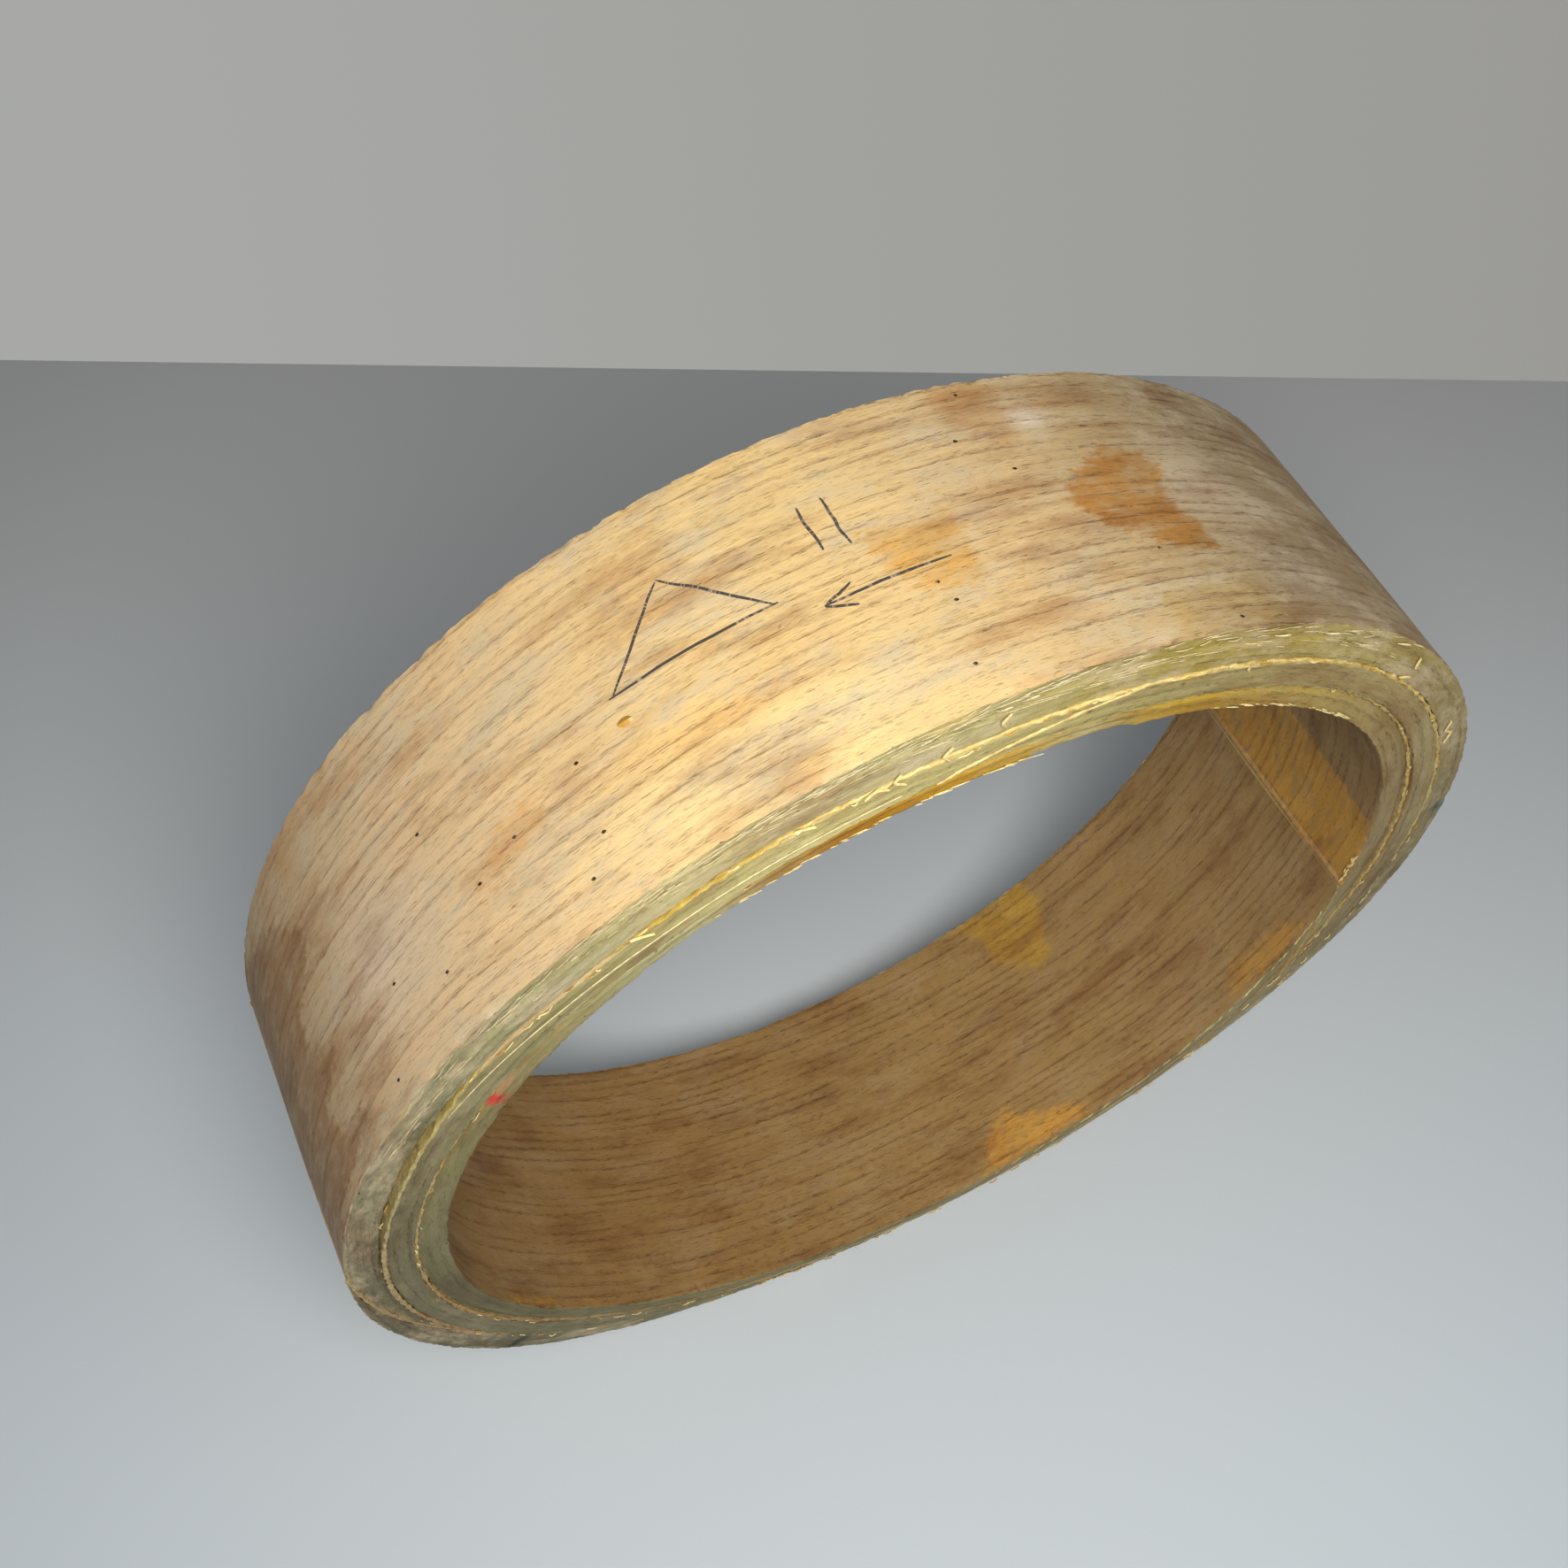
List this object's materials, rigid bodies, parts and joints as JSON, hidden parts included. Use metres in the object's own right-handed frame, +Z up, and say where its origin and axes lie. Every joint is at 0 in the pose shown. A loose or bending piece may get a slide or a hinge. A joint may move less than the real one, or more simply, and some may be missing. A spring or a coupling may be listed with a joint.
{
  "type": "banjo rim",
  "caption": "Round laminated wooden rim blank for a banjo pot, with scarfed plies, open through the middle and standing on its side.",
  "frame": {"origin": "on the ground below the middle of the rim, which stands on its side", "axes": "+X right, +Y along the rim's axis from the head face to the back face, +Z up"},
  "size_m": [0.2824, 0.0716, 0.2824],
  "materials": {
    "outer_ash": "raw planed ash, dry, with glue stains",
    "middle_ash": "raw rough-sawn edge",
    "inner_ash": "raw ash darkened by steaming, with glue stains",
    "dry_glue": "dried wood glue, amber, satin to glossy"
  },
  "bodies": {
    "root": {"outer_ply": "outer_ash", "middle_ply": "middle_ash", "inner_ply": "inner_ash", "outer_glue_line": "dry_glue", "inner_glue_line": "dry_glue", "outer_scarf_glue": "dry_glue", "middle_scarf_glue": "dry_glue", "inner_scarf_glue": "dry_glue"}
  },
  "joints": []
}
